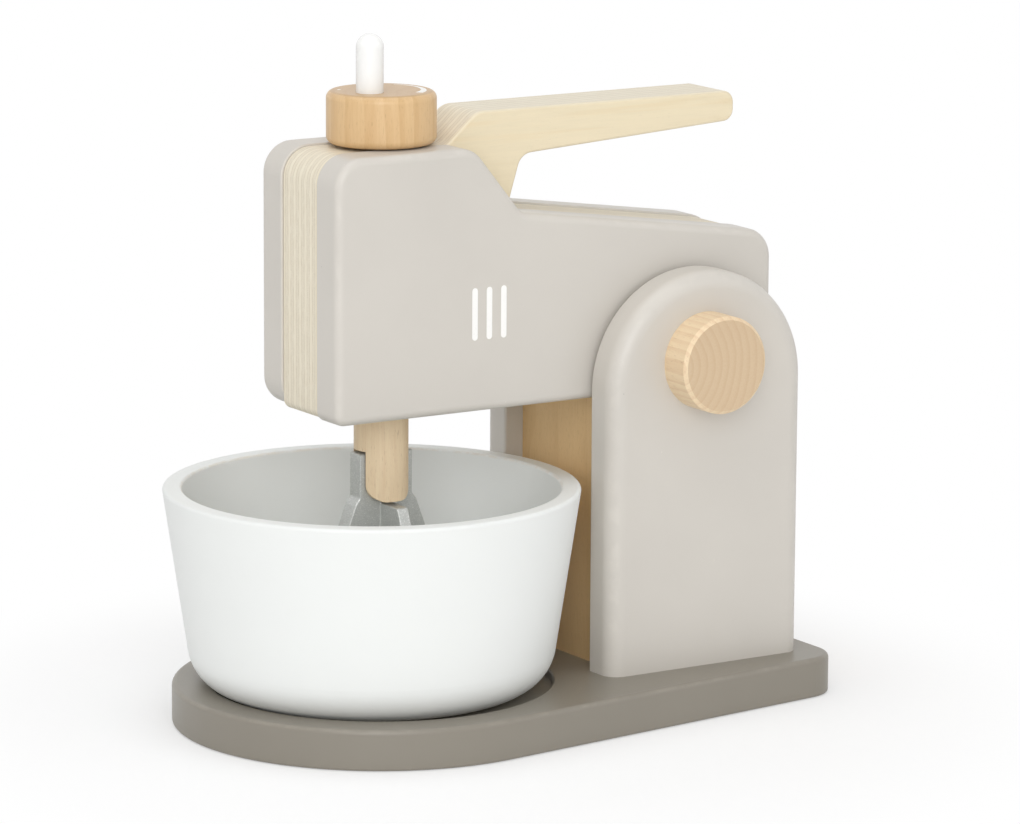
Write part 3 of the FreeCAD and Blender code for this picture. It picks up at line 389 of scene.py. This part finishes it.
def timber(name, axis, pith, spacing, early, late, seed, roughness=0.5, waver=1.6, contrast=0.8,
           coat_weight=0.0, end_tone=0.84):
    """Solid wood with growth rings about a pith line: lines along the grain, arcs on the ends.

    The pith and the spacing of the rings are in millimetres."""
    wood = Finish(name)
    sway = wood.cloud(wood.stretched(*along_grain(axis, 0.015, 0.09), seed), rough=0.45,
                      output="Color")
    sways = wood.parts(sway)
    place = wood.parts(wood.place)
    others = [i for i in (X, Y, Z) if i != axis]
    # The noise mostly stays within a sixth of its middle, so this makes the waver its reach
    widened = waver * 6
    offsets = [place[others[i]] - pith[i] + (sways[i] - 0.5) * widened for i in range(2)]
    phase = (reach(*offsets) / spacing) % 1.0
    ring_stops = [(0.0, 0.05), (0.45, 0.22), (0.86, 1.0), (0.97, 0.75), (1.0, 0.05)]
    ring = wood.node("ShaderNodeValToRGB", {"stops": ring_stops}, {0: phase})
    fibre = wood.cloud(wood.stretched(*along_grain(axis, 0.09, 1.6), seed + 2), 3.0, 0.6)
    pores = wood.cloud(wood.stretched(*along_grain(axis, 0.45, 4.5), seed + 9), detail=1.0)
    fleck = wood.between(pores, 0.62, 0.74)
    drift = wood.cloud(wood.even(0.03, seed + 4))
    share = ring * contrast * 0.62 + (fibre - 0.5) * 0.6 + (drift - 0.5) * 0.4 + 0.08
    body = wood.mixed(share, early, late)
    flecked = wood.mixed(fleck * 0.35, body, shaded(late, 0.72))
    end = wood.between(abs(wood.parts(wood.facing)[axis]), 0.8, 0.95)
    ends = wood.mixed(share * 0.6 + 0.35, shaded(early, end_tone), shaded(late, end_tone))
    final = wood.mixed(end, flecked, ends)
    height = fibre * 0.6 + ring * 0.15 - fleck * 0.9
    return wood.finish(final, roughness + (fibre - 0.5) * 0.16, wood.bump(height, depth=0.035),
                       coat=coat_weight, coat_roughness=0.35)


def plywood(name, veneer_light, light, dark, glue, half, plies):
    """Plywood whose plies are stacked along Y: veneer grain on its faces, plies and glue lines on
    its edges. Half of its thickness is given in millimetres."""
    ply = Finish(name)
    y = ply.parts(ply.place)[Y]
    warp = ply.cloud(ply.stretched(0.03, 0.05, 0.03, 2.0)) - 0.5
    layer = (y + half + warp * 0.12) / (2 * half / plies)
    phase = layer % 1.0
    odd = ply.between((layer * 0.5) % 1.0, 0.495, 0.505)
    glued = ply.between(abs(phase - 0.5), 0.30, 0.46)
    breaks = ply.cloud(ply.stretched(0.25, 2.2, 0.25, 4.0), 3.0, 0.65)
    long_grain = ply.cloud(ply.stretched(0.10, 3.4, 0.35, 6.0), 3.0, 0.6)
    end_grain = ply.cloud(ply.even(2.6, 8.0), rough=0.6)
    light_ply = ply.mixed(ply.between(long_grain, 0.35, 0.72), light, shaded(dark, 1.04))
    dark_ply = ply.mixed(ply.between(end_grain, 0.35, 0.68), dark, shaded(dark, 0.86))
    stack = ply.mixed(odd * 0.5, light_ply, dark_ply)
    veneer_inside, veneer_outside = half - 1.1, half - 0.6
    outer = ply.between(abs(y), veneer_inside, veneer_outside)
    lined = ply.mixed(glued * ply.between(breaks, 0.36, 0.56) * 0.38, stack, glue)
    edge = ply.mixed(outer * 0.55, lined, shaded(veneer_light, 0.94))
    veneer_grain = ply.cloud(ply.stretched(0.05, 1.0, 0.75, 12.0), 4.0, 0.62)
    veneer_line = ply.between(ply.cloud(ply.stretched(0.018, 1.0, 0.32, 15.0), 3.0, 0.55),
                              0.52, 0.68)
    pore = ply.between(ply.cloud(ply.stretched(0.5, 3.0, 3.6, 17.0), detail=1.0), 0.64, 0.76)
    veneer = ply.mixed(ply.between(veneer_grain, 0.38, 0.7) * 0.30, veneer_light,
                       shaded(veneer_light, 0.90))
    figure = tint(226, 200, 152)
    figured = ply.mixed(veneer_line * 0.22, veneer, figure)
    face = ply.mixed(pore * 0.16, figured, shaded(dark, 0.80))
    on_face = ply.between(abs(ply.parts(ply.facing)[Y]), 0.80, 0.93)
    colour = ply.mixed(on_face, edge, face)
    edge_height = glued * -0.7 + end_grain * 0.35 * odd
    face_height = veneer_grain * 0.35 - pore * 0.6
    height = edge_height * (1.0 - on_face) + face_height * on_face
    return ply.finish(colour, 0.5 + (veneer_grain - 0.5) * 0.14, ply.bump(height, depth=0.045))


def bowl_finish(name, colour, wall):
    """Matt white paint over turned wood: a fine peel, faint turning lines, a few nibs and a rim
    rubbed by use. The wall's thickness is in metres."""
    coat = Finish(name)
    low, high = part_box("bowl")
    middle = (low + high) / 2 / MM
    x, y, z = coat.parts(coat.place)
    radius = reach(x - middle.x, y - middle.y)
    around = coat.node("ShaderNodeCombineXYZ", {}, {X: radius * 1.4, Y: z * 1.4, Z: 0.0})
    turning = coat.cloud(around)
    peel = coat.cloud(coat.even(1.1, 21.0))
    drift = coat.cloud(coat.even(0.02, 23.0), detail=3.0)
    inner = (high.x - low.x) / 2 / MM - wall / MM
    lip = (coat.between(radius, inner - 0.3, inner + 0.1)
           * (1.0 - coat.between(radius, inner + 0.35, inner + 0.9)))
    rubbed = coat.between(z, high.z / MM - 1.0, high.z / MM - 0.4) * lip
    patch = coat.between(coat.cloud(coat.even(0.2, 25.0), 4.0, 0.6), 0.36, 0.6)
    base = coat.mixed(drift, shaded(colour, 0.975), colour)
    bare_wood = tint(214, 194, 166)
    final = coat.mixed(rubbed * patch * 0.30, base, bare_wood)
    nib = coat.spots(0.10, 27.0, core=0.012, rim=0.024)
    height = peel * 0.7 + turning * 0.35 + nib * 1.6
    return coat.finish(final, 0.46 + peel * 0.06 + drift * 0.05, coat.bump(height, depth=0.010))


def gloss_paint(name, colour):
    """Dipped gloss paint: slow waves and a clear shine."""
    coat = Finish(name)
    wave = coat.cloud(coat.stretched(0.22, 0.22, 0.12, 31.0))
    fine = coat.cloud(coat.even(1.5, 33.0), detail=1.0)
    final = coat.mixed(wave, shaded(colour, 0.97), colour)
    return coat.finish(final, 0.20 + fine * 0.08, coat.bump(wave * 0.8 + fine * 0.2, depth=0.02),
                       coat=0.35, coat_roughness=0.12)


def print_ink(name, colour):
    """Screen-printed ink, thin enough to let a little of the paint's peel through."""
    ink = Finish(name)
    thin = ink.cloud(ink.even(2.4, 41.0), 3.0, 0.6)
    final = ink.mixed(ink.between(thin, 0.28, 0.44), shaded(colour, 0.93), colour)
    return ink.finish(final, 0.42 + thin * 0.1, ink.bump(thin, depth=0.008))


def sparkle(name, colour):
    """Silver coating with bright and dark flakes over a finely cast skin."""
    coat = Finish(name)
    red, green, blue = coat.parts(coat.cells(coat.even(5.2, 51.0), "Color"))
    bright = coat.between(red, 0.80, 0.97)
    deep = coat.between(green, 0.70, 0.98)
    drift = coat.cloud(coat.even(0.5, 53.0), 3.0, 0.6)
    base = coat.mixed(drift, shaded(colour, 0.90), shaded(colour, 1.08))
    darker = coat.mixed(deep * 0.24, base, shaded(colour, 0.5))
    glint = (0.95, 0.95, 0.93)
    final = coat.mixed(bright * 0.42, darker, glint)
    skin = coat.cloud(coat.even(2.2, 55.0), 3.0, 0.6)
    height = skin * 0.8 + blue * 0.2
    return coat.finish(final, 0.36 + skin * 0.14 - bright * 0.10, coat.bump(height, depth=0.035),
                       metallic=0.42 + bright * 0.3)


def plated(name, colour):
    """Zinc plate with drawn marks and cloudy spots."""
    metal = Finish(name)
    cloud = metal.cloud(metal.even(0.6, 61.0), detail=3.0)
    drawn = metal.cloud(metal.stretched(3.5, 0.4, 3.5, 63.0))
    final = metal.mixed(cloud, shaded(colour, 0.82), shaded(colour, 1.1))
    return metal.finish(final, 0.30 + drawn * 0.16, metal.bump(drawn, depth=0.006), metallic=0.95)


def punched_nylon(name, colour):
    """Cut nylon: milky, with the faint marks of the punch."""
    plastic = Finish(name)
    marks = plastic.cloud(plastic.even(1.4, 71.0), detail=3.0)
    final = plastic.mixed(marks, shaded(colour, 0.94), colour)
    return plastic.finish(final, 0.45 + marks * 0.12, plastic.bump(marks, depth=0.012))


def dress_node(name, material):
    """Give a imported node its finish."""
    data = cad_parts[name].data
    data.materials.clear()
    data.materials.append(material)
    for face in data.polygons:
        face.material_index = 0


def new_piece(name, body, material, build):
    """A mesh piece built by a function on a bmesh, which rides on a body."""
    data = bpy.data.meshes.new(name)
    shape = bmesh.new()
    build(shape)
    bmesh.ops.recalc_face_normals(shape, faces=shape.faces)
    shape.to_mesh(data)
    shape.free()
    data.materials.append(material)
    piece = bpy.data.objects.new(name, data)
    bpy.context.scene.collection.objects.link(piece)
    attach(piece, body)
    return piece


def slab(shape, outline, push):
    """A thin slab from an outline of points and a push vector."""
    low = [shape.verts.new(point) for point in outline]
    high = [shape.verts.new(Vector(point) + push) for point in outline]
    count = len(outline)
    shape.faces.new(low)
    shape.faces.new(list(reversed(high)))
    for i in range(count):
        shape.faces.new((low[i], high[i], high[(i + 1) % count], low[(i + 1) % count]))


def round_point(radius, turn, height):
    """A point at a turn about the shaft axis."""
    return Vector((radius * math.cos(turn), radius * math.sin(turn), height))


class FinishOperator:
    """What the operators of the mixer share."""
    bl_options = {"REGISTER", "UNDO"}

    @staticmethod
    def colours(context, *names):
        """Some of the scene's colours, as tuples."""
        return [tuple(getattr(context.scene.toy_mixer_finishes, name)) for name in names]


class TOYMIXER_OT_stage(FinishOperator, bpy.types.Operator):
    """Set up the floor, the even light, the lamps and the camera"""
    bl_idname = "toymixer.stage"
    bl_label = "Stage"

    def execute(self, context):
        stage = context.scene.toy_mixer_stage
        self.camera(context, stage)
        self.world(context, stage)
        self.floor(context)
        aim = Vector(LAMP_AIM)
        for name, power, place, size in LAMPS:
            lamp = bpy.data.lights.new(name, "AREA")
            lamp.shape = "DISK"
            lamp.size = size
            lamp.energy = getattr(stage, power)
            holder = bpy.data.objects.new(name, lamp)
            holder.location = place
            holder.rotation_mode = "QUATERNION"
            holder.rotation_quaternion = (aim - Vector(place)).to_track_quat("-Z", "Y")
            context.scene.collection.objects.link(holder)
        return {"FINISHED"}

    @staticmethod
    def camera(context, stage):
        """The camera, from its place and its three turns."""
        yaw, pitch, roll = stage.camera_yaw, stage.camera_pitch, stage.camera_roll
        ahead = Vector((math.sin(yaw) * math.cos(pitch), math.cos(yaw) * math.cos(pitch),
                        -math.sin(pitch)))
        level = Vector((math.cos(yaw), -math.sin(yaw), 0.0))
        above = level.cross(ahead)
        right = level * math.cos(roll) + above * math.sin(roll)
        up = above * math.cos(roll) - level * math.sin(roll)
        data = bpy.data.cameras.new("mixer_camera")
        data.sensor_width = SENSOR_WIDTH
        data.sensor_fit = "HORIZONTAL"
        data.lens = stage.camera_lens
        data.clip_start = SEEN_FROM
        data.clip_end = SEEN_TO
        holder = bpy.data.objects.new("mixer_camera", data)
        turned = Matrix((right, up, -ahead)).transposed().to_4x4()
        holder.matrix_world = Matrix.Translation(Vector(stage.camera_place)) @ turned
        context.scene.collection.objects.link(holder)
        context.scene.camera = holder
        context.scene.view_settings.view_transform = "Standard"

    @staticmethod
    def world(context, stage):
        """Even white light, and a white background for the camera and in reflections."""
        world = bpy.data.worlds.new("studio")
        context.scene.world = world
        world.use_nodes = True
        sky = Nodes(world.node_tree)
        camera, glossy, through = sky.outputs("ShaderNodeLightPath", {}, (
            "Is Camera Ray", "Is Glossy Ray", "Is Transmission Ray"))
        strength = sky.node("ShaderNodeMapRange", {}, {
            "Value": camera.larger(glossy).larger(through),
            "To Min": stage.world_level, "To Max": 1.0})
        light = sky.node("ShaderNodeBackground", {},
                         {"Color": (1.0, 1.0, 1.0), "Strength": strength})
        sky.node("ShaderNodeOutputWorld", {}, {"Surface": light})

    @staticmethod
    def floor(context):
        """A wide pale floor that fades into the white of the background away from the mixer.
        Beside the mixer it already glows in part, painted light that lightens its shadows there.
        """
        data = bpy.data.meshes.new("floor")
        shape = bmesh.new()
        bmesh.ops.create_grid(shape, x_segments=FLOOR_CELLS, y_segments=FLOOR_CELLS,
                              size=FLOOR_HALF)
        for vert in shape.verts:
            vert.co.z = -FLOOR_DROP
        shape.to_mesh(data)
        shape.free()
        coat = Finish("floor_paper")
        x, y = coat.parts(coat.place)[:2]
        distance = reach(x - GLOW_MIDDLE, y)
        fibre = coat.cloud(coat.even(0.6, 81.0))
        paper = coat.mixed(fibre, (0.98, 0.98, 0.98), (1.0, 1.0, 1.0))
        shader = coat.shader(paper, 0.9, specular=0.0)
        glow = coat.node("ShaderNodeEmission", {}, {"Strength": 1.0})
        seen = coat.node("ShaderNodeLightPath", {}, {}, "Is Camera Ray")
        # Painted light: for the camera the floor glows at least GLOW_LEAST, also beside the mixer,
        # which lightens its shadows
        fade = coat.between(distance, GLOW_START, GLOW_FULL) * (1.0 - GLOW_LEAST) + GLOW_LEAST
        blend = coat.node("ShaderNodeMixShader", {}, {0: fade * seen, 1: shader, 2: glow})
        data.materials.append(coat.surface(blend))
        holder = bpy.data.objects.new("floor", data)
        context.scene.collection.objects.link(holder)


class TOYMIXER_OT_column(FinishOperator, bpy.types.Operator):
    """Finish the base, the two uprights and the block between them"""
    bl_idname = "toymixer.column"
    bl_label = "Base and column"

    def execute(self, context):
        head, base, early, late = self.colours(
            context, "head_paint", "base_paint", "block_early", "block_late")
        dress_node("base_plate", painted("base_satin", base, 5.0, edge_tint=1.12, flat_axis=Z))
        dress_node("near_upright", painted("near_upright_satin", head, 17.0))
        dress_node("far_upright", painted("far_upright_satin", head, 29.0))
        dress_node("column_block", timber(
            "block_wood", axis=Z, pith=(-60.0, 38.0), spacing=4.2, early=early, late=late,
            seed=3.0, roughness=0.6, waver=2.0, contrast=0.4))
        return {"FINISHED"}


class TOYMIXER_OT_head(FinishOperator, bpy.types.Operator):
    """Finish the head's panels and its plywood core with the handle"""
    bl_idname = "toymixer.head"
    bl_label = "Head and handle"

    def execute(self, context):
        paint, *veneers = self.colours(
            context, "head_paint", "ply_face", "ply_light", "ply_dark", "glue_line")
        dress_node("near_head_panel", painted("near_panel_satin", paint, 41.0))
        dress_node("far_head_panel", painted("far_panel_satin", paint, 53.0))
        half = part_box("head_core")[1].y / MM
        plies = context.scene.toy_mixer_sizes.plies
        dress_node("head_core", plywood("core_plywood", *veneers, half, plies))
        return {"FINISHED"}


class TOYMIXER_OT_marks(FinishOperator, bpy.types.Operator):
    """Print the three stripes on the near panel, and the tapered arc and the dot on the knob"""
    bl_idname = "toymixer.marks"
    bl_label = "Printed marks"

    def execute(self, context):
        sizes = context.scene.toy_mixer_sizes
        ink = print_ink("mark_ink", *self.colours(context, "mark_paint"))
        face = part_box("near_head_panel")[0].y
        outward = Vector((0.0, -sizes.print_thick, 0.0))
        for number, place in enumerate(sizes.stripe_places, 1):
            self.mark("stripe_%d" % number, "head", ink, self.stripe(place, face, sizes), outward)
        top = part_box("crank_knob")[1].z
        upward = Vector((0.0, 0.0, sizes.print_thick))
        self.mark("knob_mark", "crank", ink, self.dial(top, sizes), upward)
        self.mark("knob_dot", "crank", ink, self.dot(top, sizes), upward)
        return {"FINISHED"}

    @staticmethod
    def mark(name, body, ink, outline, push):
        """A printed mark, a thin slab that rides on a body."""
        new_piece(name, body, ink, lambda shape: slab(shape, outline, push))

    @staticmethod
    def stripe(place, face, sizes):
        """Outline of an upright stripe with round ends."""
        half = sizes.stripe_width / 2
        points = []
        for middle, start in ((sizes.stripe_high - half, 0.0),
                              (sizes.stripe_low + half, math.pi)):
            for step in range(STRIPE_STEPS + 1):
                turn = start + math.pi * step / STRIPE_STEPS
                points.append((place + half * math.cos(turn), face,
                               middle + half * math.sin(turn)))
        return points

    @staticmethod
    def dial(top, sizes):
        """Outline of an arc on the knob that widens from a point to its full width."""
        outer, inner = [], []
        for step in range(DIAL_STEPS + 1):
            share = step / DIAL_STEPS
            turn = DIAL_START + (DIAL_END - DIAL_START) * share
            half = sizes.dial_width * (DIAL_POINT + (1 - DIAL_POINT) * share) / 2
            outer.append(round_point(sizes.dial_radius + half, turn, top))
            inner.append(round_point(sizes.dial_radius - half, turn, top))
        return outer + inner[::-1]

    @staticmethod
    def dot(top, sizes):
        """Outline of a small dot across the knob from the arc."""
        middle = round_point(sizes.dial_radius, DOT_TURN, top)
        radius = sizes.dial_width * DOT_SHARE
        return [middle + round_point(radius, i * math.tau / DOT_SIDES, 0.0)
                for i in range(DOT_SIDES)]


class TOYMIXER_OT_pivot(FinishOperator, bpy.types.Operator):
    """Finish the pivot's axle, its end caps and its washers"""
    bl_idname = "toymixer.pivot"
    bl_label = "Pivot"

    def execute(self, context):
        early, late, milky = self.colours(context, "dowel_early", "dowel_late", "nylon")
        for side, pith, spacing, seed in (("near", (71.0, 105.0), 2.5, 7.0),
                                          ("far", (106.0, 112.0), 2.7, 13.0)):
            dress_node(side + "_pivot_cap", timber(
                side + "_cap_wood", axis=Y, pith=pith, spacing=spacing, early=early, late=late,
                seed=seed, roughness=0.52, waver=0.2, contrast=0.6, end_tone=0.82))
        dress_node("pivot_axle", timber(
            "axle_wood", axis=Y, pith=(99.0, 92.0), spacing=1.8, early=early, late=late,
            seed=19.0, roughness=0.55, waver=0.5))
        washer = punched_nylon("washer_nylon", milky)
        dress_node("near_washer", washer)
        dress_node("far_washer", washer)
        return {"FINISHED"}


class TOYMIXER_OT_crank(FinishOperator, bpy.types.Operator):
    """Finish the crank's knob, its peg, its shaft and the keeper pin"""
    bl_idname = "toymixer.crank"
    bl_label = "Crank"

    def execute(self, context):
        knob_early, knob_late, peg, dowel_early, dowel_late, zinc = self.colours(
            context, "knob_early", "knob_late", "peg_paint", "dowel_early", "dowel_late", "zinc")
        dress_node("crank_knob", timber(
            "knob_wood", axis=Z, pith=(31.0, -25.0), spacing=5.0, early=knob_early,
            late=knob_late, seed=11.0, roughness=0.36, waver=1.8, contrast=0.55,
            coat_weight=0.2))
        dress_node("crank_peg", gloss_paint("peg_gloss", peg))
        dress_node("crank_shaft", timber(
            "shaft_wood", axis=Z, pith=(-22.0, 14.0), spacing=2.6, early=dowel_early,
            late=dowel_late, seed=23.0, waver=0.6, contrast=0.25))
        dress_node("shaft_keeper_pin", plated("keeper_steel", zinc))
        return {"FINISHED"}


class TOYMIXER_OT_beater(FinishOperator, bpy.types.Operator):
    """Make the silver beater with its edges rounded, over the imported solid"""
    bl_idname = "toymixer.beater"
    bl_label = "Beater"

    def execute(self, context):
        silver = sparkle("beater_silver", *self.colours(context, "silver"))
        piece = new_piece("beater_blades", "beater", silver, self.welded)
        for face in piece.data.polygons:
            face.use_smooth = True
        bevel = piece.modifiers.new("rounded edges", "BEVEL")
        bevel.width = context.scene.toy_mixer_sizes.beater_bevel
        bevel.segments = BEVEL_SEGMENTS
        bevel.limit_method = "ANGLE"
        bevel.angle_limit = BEVEL_TURN
        bevel.harden_normals = False
        normals = piece.modifiers.new("face normals", "WEIGHTED_NORMAL")
        normals.keep_sharp = True
        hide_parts("beater")
        return {"FINISHED"}

    @staticmethod
    def welded(shape):
        """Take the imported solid, weld its points and join its flat faces."""
        shape.from_mesh(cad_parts["beater"].data)
        bmesh.ops.remove_doubles(shape, verts=shape.verts, dist=WELD)
        bmesh.ops.dissolve_limit(shape, angle_limit=FLAT_TURN, verts=shape.verts,
                                 edges=shape.edges)


class TOYMIXER_OT_bowl(FinishOperator, bpy.types.Operator):
    """Finish the bowl"""
    bl_idname = "toymixer.bowl"
    bl_label = "Bowl"

    def execute(self, context):
        wall = context.scene.toy_mixer_sizes.bowl_wall
        dress_node("bowl", bowl_finish("bowl_matt", *self.colours(context, "bowl_paint"), wall))
        return {"FINISHED"}


class TOYMIXER_OT_fasteners(FinishOperator, bpy.types.Operator):
    """Finish the screws and the hidden dowel pins"""
    bl_idname = "toymixer.fasteners"
    bl_label = "Fasteners"

    def execute(self, context):
        early, late, zinc = self.colours(context, "dowel_early", "dowel_late", "zinc")
        pins = timber("pin_wood", axis=Y, pith=(30.0, 60.0), spacing=1.5, early=early, late=late,
                      seed=37.0, roughness=0.6, waver=0.4)
        dress_node("head_dowel_pins", pins)
        dress_node("column_dowel_pins", pins)
        dress_node("base_screws", plated("screw_zinc", zinc))
        return {"FINISHED"}


OPERATORS = (TOYMIXER_OT_stage, TOYMIXER_OT_column, TOYMIXER_OT_head, TOYMIXER_OT_marks,
             TOYMIXER_OT_pivot, TOYMIXER_OT_crank, TOYMIXER_OT_beater, TOYMIXER_OT_bowl,
             TOYMIXER_OT_fasteners)


class TOYMIXER_PT_panel(bpy.types.Panel):
    """The mixer's finishes and sizes, and the operators that use them"""
    bl_idname = "TOYMIXER_PT_panel"
    bl_label = "Toy Stand Mixer"
    bl_space_type = "VIEW_3D"
    bl_region_type = "UI"
    bl_category = "Toy Mixer"

    def draw(self, context):
        layout = self.layout
        for kind in OPERATORS:
            layout.operator(kind.bl_idname)
        scene = context.scene
        for group in (scene.toy_mixer_finishes, scene.toy_mixer_sizes, scene.toy_mixer_stage):
            box = layout.box()
            for name in group.__annotations__:
                box.prop(group, name)


CLASSES = (ToyMixerFinishes, ToyMixerSizes, ToyMixerStage, *OPERATORS, TOYMIXER_PT_panel)


def register():
    """Register the classes and hang the settings on the scene."""
    for kind in CLASSES:
        bpy.utils.register_class(kind)
    bpy.types.Scene.toy_mixer_finishes = PointerProperty(type=ToyMixerFinishes)
    bpy.types.Scene.toy_mixer_sizes = PointerProperty(type=ToyMixerSizes)
    bpy.types.Scene.toy_mixer_stage = PointerProperty(type=ToyMixerStage)


def unregister():
    """Take the settings and the classes away again."""
    del bpy.types.Scene.toy_mixer_stage
    del bpy.types.Scene.toy_mixer_sizes
    del bpy.types.Scene.toy_mixer_finishes
    for kind in reversed(CLASSES):
        bpy.utils.unregister_class(kind)


def main():
    """Make every piece."""
    register()
    for kind in OPERATORS:
        group, name = kind.bl_idname.split(".")
        getattr(getattr(bpy.ops, group), name)()


if __name__ == "__main__":
    main()
